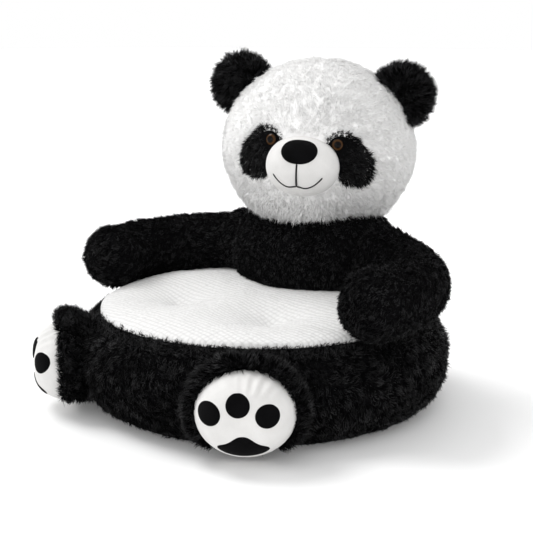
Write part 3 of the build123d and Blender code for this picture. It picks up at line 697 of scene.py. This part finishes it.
def torso_points(d):
    local = oval_points(d, *TORSO_OVAL)
    side = smooth((np.abs(local[:, 0]) - 0.03) / 0.07)
    high = smooth((local[:, 2] - 0.01) / 0.06)
    local[:, 2] += 0.007 * side * high
    local[:, 1] -= 0.004 * side * high * (local[:, 1] < 0)
    seam = np.exp(-((local[:, 0] / 0.0035) ** 2)) * (local[:, 1] < 0)
    world = TORSO.out(local)
    n = oval_normal(local, TORSO_OVAL)
    return world + n * (noise(world, 0.06, 21) * 0.002 - 0.003 * seam)[:, None]


torso_skin = make_object("torso_plush_skin", torso_points(directions), ball_faces, "base")
dress(torso_skin, black_ground_painted_shade)
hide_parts("torso_cover", "torso_fill")


def torso_shown(p, n):
    r = np.hypot(p[:, 0], p[:, 1])
    above = p[:, 2] > seat_height(p[:, 0], p[:, 1]) - 0.004
    outside = r > SEAT_R
    return (above | (outside & (p[:, 2] > 0.11))) & ~inside_oval(p, HEAD, HEAD_OVAL, 0.002)


def body_comb(p, n):
    return -UP + 0.3 * np.cross(UP, n)


grow_pile("torso_pile", torso_skin, "base", BLACK_SHADES, 3.0, 8.5, body_comb, lean=(0.55, 0.85),
          tuft=7, gather=0.7, seed=200, keep=torso_shown)

# ---- head --------------------------------------------------------------------------------------------
PATCH_AT, PATCH_HALF, PATCH_LEAN = (0.0545, -0.010), (0.0245, 0.0350), radians(35)


def patch_depth(p):
    """Under 1 inside an eye patch, seen from the front of the head."""
    q = HEAD.into(p)
    u, v = np.abs(q[:, 0]) - PATCH_AT[0], q[:, 2] - PATCH_AT[1]
    across = u * cos(PATCH_LEAN) + v * sin(PATCH_LEAN)
    along = -u * sin(PATCH_LEAN) + v * cos(PATCH_LEAN)
    inside = np.hypot(across / PATCH_HALF[0], along / PATCH_HALF[1])
    return np.where(q[:, 1] < 0, inside, 9.0)


def head_points(d):
    local = oval_points(d, *HEAD_OVAL)
    plump = 0.0028 * smooth((patch_depth(HEAD.out(local)) - 1.0) / 0.25)
    cheek = smooth(-local[:, 2] / 0.08 + 0.35) * smooth((np.abs(local[:, 0]) - 0.04) / 0.05)
    crown = smooth(local[:, 2] / 0.09) * smooth((np.abs(local[:, 0]) - 0.03) / 0.06)
    jowl = smooth((-local[:, 2] - 0.045) / 0.05)
    local[:, 0] *= 1 + 0.05 * cheek - 0.02 * crown
    local[:, 0] *= 1 + 0.07 * jowl
    local[:, 2] *= 1 + 0.03 * cheek + 0.10 * jowl + 0.03 * smooth(local[:, 2] / 0.08)
    local[:, 1] *= 1 + 0.05 * jowl
    seam = np.exp(-((local[:, 0] / 0.003) ** 2))
    n = oval_normal(local, HEAD_OVAL)
    return HEAD.out(local + n * (plump - 0.0014 * seam)[:, None])


head_skin = make_object("head_plush_skin", head_points(directions), ball_faces, "head")
dress(head_skin, white_ground_painted_shade)
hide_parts("head_cover", "head_fill")


WHITE_PILE_FROM_EYE, BLACK_PILE_FROM_EYE = 0.010, 0.0082
EYE_SIDE, EYE_UP = 0.0405, 0.008
EYE_OUT = HEAD_OVAL[1] * (1 - (EYE_SIDE / HEAD_OVAL[0]) ** 2 - (EYE_UP / HEAD_OVAL[1]) ** 2) ** 0.5
EYES = {side: HEAD.out((side * EYE_SIDE, -EYE_OUT, EYE_UP)) for side in (1, -1)}


def eye_distance(p):
    return np.min([np.linalg.norm(p - e, axis=1) for e in EYES.values()], axis=0)


def head_comb(p, n):
    """Away from the middle of the face, and down at the sides and back."""
    q = HEAD.into(p)
    side = (q[:, 0] / (np.abs(q[:, 0]) + 0.012))[:, None] * HEAD.x
    from_face = unit(p - MUZZLE.out((0, 0, 0.02)))
    front = smooth(-q[:, 1] / 0.06)[:, None]
    return from_face * front + (0.8 * side - HEAD.z) * (1 - front) * 0.7 - HEAD.z * 0.25


def head_length(p):
    q = HEAD.into(p)
    low = smooth((-q[:, 2] - 0.03) / 0.05)
    face = smooth((0.070 - np.linalg.norm(p - MUZZLE.o, axis=1)) / 0.03)
    left = smooth(q[:, 0] / 0.05 + 0.5)
    return (7.5 + 1.5 * left + 6.5 * low) * (1 - 0.35 * face)


def head_shown(p, n):
    off_muzzle = ~inside_oval(p, MUZZLE, MUZZLE_OVAL, 0.001)
    return (patch_depth(p) > 0.98) & off_muzzle & (eye_distance(p) > WHITE_PILE_FROM_EYE)


grow_pile("head_pile", head_skin, "head", WHITE_SHADES, 1.55, head_length, head_comb, lean=(0.70, 0.90),
          tuft=7.5, gather=0.35, scatter=0.2, swirl=0.6, width=0.85, seed=300, keep=head_shown)


def patch_comb(p, n):
    """Away from the eye close to it, then as the rest of the face."""
    eye = np.where((HEAD.into(p)[:, 0] > 0)[:, None], EYES[1], EYES[-1])
    close = smooth((0.020 - eye_distance(p)) / 0.008)[:, None]
    return head_comb(p, n) * (1 - close) + 3 * unit(p - eye) * close


def patch_length(p):
    return 4.0 + 5.5 * smooth((eye_distance(p) - 0.010) / 0.008)


def patch_shown(p, n):
    off_muzzle = ~inside_oval(p, MUZZLE, MUZZLE_OVAL)
    return (patch_depth(p) < 1.0) & off_muzzle & (eye_distance(p) > BLACK_PILE_FROM_EYE)


grow_pile("eye_patch_pile", head_skin, "head", BLACK_SHADES, 0.9, patch_length, patch_comb, lean=(0.4, 0.70),
          tuft=5, gather=0.6, width=1.0, seed=340,
          keep=patch_shown)
for side in ("left", "right"):
    dress(nodes[f"eye_patch_{side}"], black_ground_painted_shade)

# ---- muzzle, nose and mouth --------------------------------------------------------------------------
def muzzle_points(d):
    local = oval_points(d, *MUZZLE_OVAL)
    cleft = np.exp(-((local[:, 0] / 0.004) ** 2)) * smooth(-local[:, 2] / 0.012) * (local[:, 1] < 0)
    n = unit(local)
    return MUZZLE.out(local - n * (0.0010 * cleft)[:, None])


muzzle_skin = make_object("muzzle_velour_skin", muzzle_points(directions), ball_faces, "head")
dress(muzzle_skin, white_velour)
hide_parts("muzzle_cover", "muzzle_fill")


def on_muzzle(u, v, lift):
    """Points on the muzzle's front at u across and v up from its middle, in metres."""
    radius = oval_radius(u, *MUZZLE_OVAL)
    y = -np.sqrt(np.maximum(radius**2 - v**2, 0))
    local = np.stack([u, y, v], -1)
    n = oval_normal(local, MUZZLE_OVAL)
    return MUZZLE.out(local + n * np.asarray(lift)[..., None])


def applique(name, edge_u, edge_v, centre, place, thick, material, body, node, rows=26):
    """A padded patch: an outline filled with rings that round off towards its edge."""
    count = len(edge_u)
    t = np.sin(np.linspace(0, pi / 2, rows))
    u = centre[0] + t[:, None] * (edge_u - centre[0])
    v = centre[1] + t[:, None] * (edge_v - centre[1])
    lift = thick * (1 - t**6) ** 0.5
    top = place(u, v, np.repeat(lift[:, None], count, 1))
    skirt = place(u[-1:], v[-1:], np.full((1, count), -0.0012))
    points = np.concatenate([top, skirt]).reshape(-1, 3)
    obj = make_object(name, points, ring_faces(rows + 1, count), body)
    dress(obj, material)
    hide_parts(node)
    return obj


t = np.linspace(0, 2 * pi, 96, endpoint=False)
NOSE_HALF_W, NOSE_HALF_H, NOSE_UP = 0.0222, 0.0135, 0.0195
narrow = 1 - 0.10 * (np.sin(t) < 0) * np.abs(np.sin(t))
nose_u = NOSE_HALF_W * np.sign(np.cos(t)) * np.abs(np.cos(t)) ** 0.85 * narrow
nose_v = NOSE_UP + NOSE_HALF_H * np.sign(np.sin(t)) * np.abs(np.sin(t)) ** 0.9
applique("nose_velour", nose_u, nose_v, (0, NOSE_UP), on_muzzle, 0.0028, black_velour,
         "head", "nose_patch")


def thread(name, points, radius, material, body, node, twist=0.0012):
    """An embroidered line: a slim tube whose thickness swells at each stitch."""
    line = np.asarray(points)
    step = np.linalg.norm(np.diff(line, axis=0), axis=1)
    length = np.concatenate([[0], np.cumsum(step)])
    s = np.linspace(0, length[-1], int(length[-1] / 0.0003))
    line = np.stack([np.interp(s, length, line[:, k]) for k in range(3)], -1)
    along = unit(np.gradient(line, axis=0))
    out = unit(line - MUZZLE.o)
    side = unit(np.cross(along, out))
    ends = np.minimum(smooth(s / 0.0015), smooth((s[-1] - s) / 0.0015))
    swell = radius * (0.90 + 0.10 * np.abs(np.sin(pi * s / twist))) * (0.25 + 0.75 * ends)
    ring = np.linspace(0, 2 * pi, 12, endpoint=False)
    points = (line[:, None] + swell[:, None, None] * (np.cos(ring)[None, :, None] * side[:, None]
              + 0.7 * np.sin(ring)[None, :, None] * out[:, None]))
    faces = [(i * 12 + j, i * 12 + (j + 1) % 12, (i + 1) * 12 + (j + 1) % 12, (i + 1) * 12 + j)
             for i in range(len(line) - 1) for j in range(12)]
    obj = make_object(name, points.reshape(-1, 3), faces, body)
    dress(obj, material)
    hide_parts(node)
    return obj


lip = np.linspace(0, 1, 60)
thread("mouth_centre_stitch", on_muzzle(np.zeros(60), 0.0065 - 0.0285 * lip, np.full(60, 0.0001)),
       0.0012, black_thread, "head", "mouth_stitching")
for side, name in ((1, "left"), (-1, "right")):
    u = side * 0.0305 * lip
    v = -0.0220 - 0.0015 * smooth(lip / 0.35) + 0.0145 * np.maximum((lip * 0.0305 - 0.009) / 0.0215, 0) ** 2
    thread(f"mouth_smile_{name}_stitch", on_muzzle(u, v, np.full(60, 0.0001)),
           0.0011, black_thread, "head", "mouth_stitching")

for side, name in ((1, "left"), (-1, "right")):
    axis = oval_normal(HEAD.into(EYES[side]), HEAD_OVAL) @ HEAD.axes
    dress(nodes[f"eye_{name}"], eye_material(f"eye_plastic_{name}", EYES[side], axis))
    dress(nodes[f"eye_washer_{name}"], washer_plastic)

# ---- ears --------------------------------------------------------------------------------------------
for side, name in ((1, "left"), (-1, "right")):
    f = ear_frame(side)
    local = oval_points(directions, *EAR_OVAL)
    hollow = smooth(1 - np.hypot(local[:, 1], local[:, 2]) / 0.026) * (local[:, 0] < 0)
    local[:, 0] += 0.006 * hollow
    skin = make_object(f"ear_{name}_plush_skin", f.out(local), ball_faces, f"ear_{name}")
    dress(skin, black_ground_painted_shade)
    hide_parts(f"ear_cover_{name}", f"ear_fill_{name}")

    def ear_comb(p, n, f=f):
        q = f.into(p)
        return unit(np.column_stack([0 * q[:, 0], q[:, 1], q[:, 2] + 0.012]) @ f.axes)

    def ear_shown(p, n):
        return ~inside_oval(p, HEAD, HEAD_OVAL, 0.001)

    grow_pile(f"ear_{name}_pile", skin, f"ear_{name}", BLACK_SHADES, 1.05, 16.0, ear_comb, lean=(0.30, 0.48),
              tuft=5, gather=0.8, scatter=0.25, width=0.95, seed=400 + side, keep=ear_shown)

# ---- arms --------------------------------------------------------------------------------------------
ARM_SUNK_OVAL = (0.112, 0.083)     # the part of the torso in which the arms carry no pile
SHOULDER_AT, ELBOW_AT, PAW_AT = (0.116, 0.100, 0.171), (0.197, 0.051, 0.165), (0.216, -0.057, 0.160)
SHOULDER_R, PAW_R, ARM_R = 0.045, 0.0405, 0.0385
ARM_RINGS, ARM_COUNT = 110, 72


def arm_skin_points(side):
    """A bent tube from the shoulder to the paw, closed by a dome at each end."""
    a, b, c = (np.array(q) for q in (SHOULDER_AT, ELBOW_AT, PAW_AT))
    x = unit(b - a)
    y = np.cross(unit(np.cross(b - a, c - a)), x)
    flat = [((q - a) @ x, (q - a) @ y) for q in (a, b, c)]
    mid = arc_through(*flat, 200)
    line = a + mid[:, :1] * x + mid[:, 1:] * y
    length = np.concatenate([[0], np.cumsum(np.linalg.norm(np.diff(line, axis=0), axis=1))])
    total = length[-1]
    s = -SHOULDER_R + (total + SHOULDER_R + PAW_R) * (0.5 - 0.5 * np.cos(pi * np.linspace(0, 1, ARM_RINGS)))
    at = np.clip(s, 0, total)
    centre = np.stack([np.interp(at, length, line[:, k]) for k in range(3)], -1)
    along = unit(np.stack([np.interp(at, length, np.gradient(line[:, k])) for k in range(3)], -1))
    centre = centre + along * np.minimum(s, 0)[:, None] + along * np.maximum(s - total, 0)[:, None]
    shoulder = np.sqrt(np.maximum(SHOULDER_R**2 - s**2, 0))
    paw = np.sqrt(np.maximum(PAW_R**2 - (s - total) ** 2, 0))
    radius = np.maximum(shoulder, paw)
    body = (s > 0) & (s < total)
    radius = np.where(body, np.maximum(radius, ARM_R), radius)
    up = unit(UP - (along @ UP)[:, None] * along)
    out = np.cross(along, up)
    t = np.linspace(0, 2 * pi, ARM_COUNT, endpoint=False)
    ring = np.cos(t)[None, :, None] * out[:, None] + np.sin(t)[None, :, None] * up[:, None]
    points = centre[:, None] + radius[:, None, None] * ring
    points = points.reshape(-1, 3)
    if side < 0:
        points = points * (-1, 1, 1)
    return points


for side, name in ((1, "left"), (-1, "right")):
    points = arm_skin_points(side)
    faces = ring_faces(ARM_RINGS, ARM_COUNT)
    if side < 0:
        faces = [quad[::-1] for quad in faces]
    skin = make_object(f"arm_{name}_plush_skin", points, faces, f"arm_{name}")
    dress(skin, black_ground_painted_shade)
    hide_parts(f"arm_cover_{name}", f"arm_fill_{name}")

    def arm_comb(p, n, side=side):
        return np.tile((0.25 * side, -1.0, -0.5), (len(p), 1))

    def arm_shown(p, n):
        return ~inside_oval(p, TORSO, ARM_SUNK_OVAL)

    grow_pile(f"arm_{name}_pile", skin, f"arm_{name}", BLACK_SHADES, 2.7, 8.5, arm_comb, lean=(0.58, 0.85),
              tuft=8, gather=0.6, scatter=0.28, width=1.0, seed=500 + side, keep=arm_shown)

# ---- feet --------------------------------------------------------------------------------------------
SOLE_HALF = (0.0555, 0.048)
DOME_EDGE, DOME_RISE = 0.0120, 0.0460
TOE_R, TOE_SIDE, TOE_UP, MID_TOE_UP, TOE_IN = 0.0128, 0.0310, 0.008, 0.019, 0.0050
HEEL_HALF_W, HEEL_MID_UP = 0.028, -0.0300
PAD_T = 0.0013
SOLE_COUNT, BAND_COUNT, BAND_ROWS = 160, 180, 40


def sole_place(f):
    """Puts points u across and v up on the domed sole of a foot, lifted off it."""
    def place(u, v, lift):
        s2 = np.clip((u / SOLE_HALF[0]) ** 2 + (v / SOLE_HALF[1]) ** 2, 0, 1.3)
        y = -(DOME_EDGE + DOME_RISE * np.sqrt(np.maximum(1 - 0.92 * s2**1.6, 0)))
        return f.out(np.stack([u, y - np.asarray(lift), v], -1))
    return place


for side, name in ((1, "left"), (-1, "right")):
    f = feet[side]
    place = sole_place(f)
    t = np.linspace(0, 2 * pi, SOLE_COUNT, endpoint=False)
    rows = 46
    s = np.linspace(0, 1, rows)[:, None]
    u, v = s * SOLE_HALF[0] * np.cos(t), s * (SOLE_HALF[1] + 0.0050 * smooth(-1.6 * np.sin(t))) * np.sin(t)
    up_side = np.exp(-(((np.degrees(t) - 90 + 18) / 26) ** 2))
    pucker = 0.0034 * up_side * np.cos(np.radians(np.degrees(t) - 72) * 26) * smooth((s - 0.55) / 0.4)
    seam = -0.002 * smooth((s - 0.93) / 0.07)
    points = place(u, v, pucker + seam + 0.0004 * np.cos(t * 40) * smooth((s - 0.85) / 0.15)).reshape(-1, 3)
    faces = ring_faces(rows, SOLE_COUNT)
    sole = make_object(f"foot_{name}_sole", points, faces, f"foot_{name}")
    dress(sole, white_velour)
    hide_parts(f"foot_sole_{name}")

    t = np.linspace(0, 2 * pi, 72, endpoint=False)
    for k, (cu, cv) in enumerate(((-TOE_SIDE, TOE_UP), (0, MID_TOE_UP), (TOE_SIDE, TOE_UP))):
        cu = cu - side * TOE_IN
        applique(f"foot_{name}_toe_pad_{k + 1}", cu + TOE_R * np.cos(t), cv + TOE_R * np.sin(t), (cu, cv),
                 place, PAD_T, black_velour, f"foot_{name}", f"toe_pads_{name}", 12)
    hill = np.linspace(-1, 1, 60)
    tip = np.sqrt(1 - hill**6)
    top_v = HEEL_MID_UP + 0.0050 * tip + 0.0110 * np.exp(-((np.abs(hill) / 0.50) ** 2.4))
    low_v = HEEL_MID_UP - (0.0045 + 0.0055 * (1 - hill**2)) * tip
    edge_u = HEEL_HALF_W * np.concatenate([hill, hill[::-1]])
    edge_v = np.concatenate([low_v, top_v[::-1]])
    applique(f"foot_{name}_heel_pad", edge_u, edge_v, (0, HEEL_MID_UP - 0.001), place, PAD_T, black_velour,
             f"foot_{name}", f"heel_pad_{name}", 12)

    # band: from the sole's edge outwards and back to the heel
    t = np.linspace(0, 2 * pi, BAND_COUNT, endpoint=False)
    profile = np.array([[0.955, 0.0225], [1.04, 0.0250], [1.12, 0.0240], [1.16, 0.020], [1.18, 0.015],
                        [1.15, 0.008], [1.08, 0.001], [0.96, -0.009], [0.80, -0.022]])
    k = np.linspace(0, len(profile) - 1, BAND_ROWS)
    grow = np.interp(k, np.arange(len(profile)), profile[:, 0])[:, None]
    back = np.interp(k, np.arange(len(profile)), profile[:, 1])
    under = smooth((-0.45 - np.sin(t)) / 0.5)
    grow = grow - np.maximum(grow - 0.96, 0) * under
    u = grow * SOLE_HALF[0] * np.cos(t)
    v = grow * (SOLE_HALF[1] + 0.0005) * np.sin(t) * (1 + 0.08 * np.maximum(np.sin(t), 0))
    v = np.maximum(v, 0.003 - FOOT_Z)
    tuck = 0.005 * np.exp(-((np.degrees(t) - 95) / 5) ** 2) * smooth((grow - 0.95) / 0.1)
    points = f.out(np.stack([u, -np.repeat(back[:, None], BAND_COUNT, 1), v - tuck], -1)).reshape(-1, 3)
    faces = ring_faces(BAND_ROWS, BAND_COUNT)
    band = make_object(f"foot_{name}_plush_skin", points, faces, f"foot_{name}")
    dress(band, black_ground_painted_shade)
    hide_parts(f"foot_cover_{name}", f"foot_fill_{name}")

    def foot_comb(p, n, f=f):
        q = f.into(p)
        ring = unit(np.column_stack([q[:, 0], 0 * q[:, 1], q[:, 2]]) @ f.axes)
        return ring * 0.8 - f.y * 0.2 * smooth((-q[:, 1] - 0.02) / 0.02)[:, None]

    def foot_shown(p, n, f=f):
        q = f.into(p)
        under_sole = (q[:, 2] < -0.038) & (q[:, 1] < -0.004)
        return (q[:, 1] < 0.015) & (p[:, 2] > 0.002) & ~under_sole

    grow_pile(f"foot_{name}_pile", band, f"foot_{name}", BLACK_SHADES, 1.8, 12.0, foot_comb,
              lean=(0.30, 0.62), tuft=7, gather=0.6, scatter=0.28, width=1.0, seed=600 + side,
              keep=foot_shown)

# ---- CAD pieces that keep their shape ------------------------------------------------------------------
dress(nodes["base_bottom_panel"], bottom_cloth)
dress(nodes["zip_tape"], dark_tape)
dress(nodes["zip_coil"], zip_plastic)
for name in ("zip_stops", "zip_slider", "zip_pull"):
    dress(nodes[name], zip_enamel)
dress(nodes["neck_collar"], dark_tape)

# ---- floor, light and camera ---------------------------------------------------------------------------
floor_size = 40
floor = make_object("floor", [(-floor_size, -floor_size, 0), (floor_size, -floor_size, 0),
                              (floor_size, floor_size, 0), (-floor_size, floor_size, 0)], [(0, 1, 2, 3)])
floor_paint = new_material("floor_paint", 0.6, 0.0, 0.5, 0.2)
ft = Tree(floor_paint)
ft.set(ft.ramp(ft.noise(6, 3), [(0.3, (0.91, 0.91, 0.91)), (0.7, (0.93, 0.93, 0.93))]))
ft.shader.inputs["Emission Color"].default_value = (1, 1, 1, 1)
ft.shader.inputs["Emission Strength"].default_value = 0.06
dress(floor, floor_paint)

world = bpy.data.worlds.new("studio")
bpy.context.scene.world = world
world.use_nodes = True
sky = world.node_tree
backdrop = sky.nodes["Background"]
backdrop.inputs["Color"].default_value = (1, 1, 1, 1)
backdrop.inputs["Strength"].default_value = 1.0

LIGHTS = (("sun", 1.5, 0.5, (-0.85, -0.15, 1.25)), ("low_front", 0.4, 0.7, (0.25, -1.08, 0.12)))
for name, energy, angle, source in LIGHTS:
    sun = bpy.data.lights.new(name, "SUN")
    sun.energy = energy
    sun.angle = angle
    lamp = bpy.data.objects.new(name, sun)
    bpy.context.scene.collection.objects.link(lamp)
    lamp.rotation_euler = Vector(source).to_track_quat("Z", "Y").to_euler()

VIEW_AZ, VIEW_YAW, VIEW_PITCH = 41.0, -0.2, 11.7
CAMERA_OUT, CAMERA_UP = 1.3668, 0.449
LENS_MM = 74.04
place = radians(VIEW_AZ)
camera_at = Vector((sin(place) * CAMERA_OUT, -cos(place) * CAMERA_OUT, CAMERA_UP))
look, down = radians(VIEW_AZ + VIEW_YAW), radians(VIEW_PITCH)
ahead = Vector((-sin(look) * cos(down), cos(look) * cos(down), -sin(down)))
right = Vector((cos(look), sin(look), 0))
lens = bpy.data.cameras.new("camera")
lens.sensor_width = 36.0
lens.lens = LENS_MM
camera = bpy.data.objects.new("camera", lens)
bpy.context.scene.collection.objects.link(camera)
upward = right.cross(ahead)
camera.matrix_world = Matrix((
    (right.x, upward.x, -ahead.x, camera_at.x),
    (right.y, upward.y, -ahead.y, camera_at.y),
    (right.z, upward.z, -ahead.z, camera_at.z),
    (0, 0, 0, 1),
))
bpy.context.scene.camera = camera
bpy.context.scene.view_settings.view_transform = "Standard"
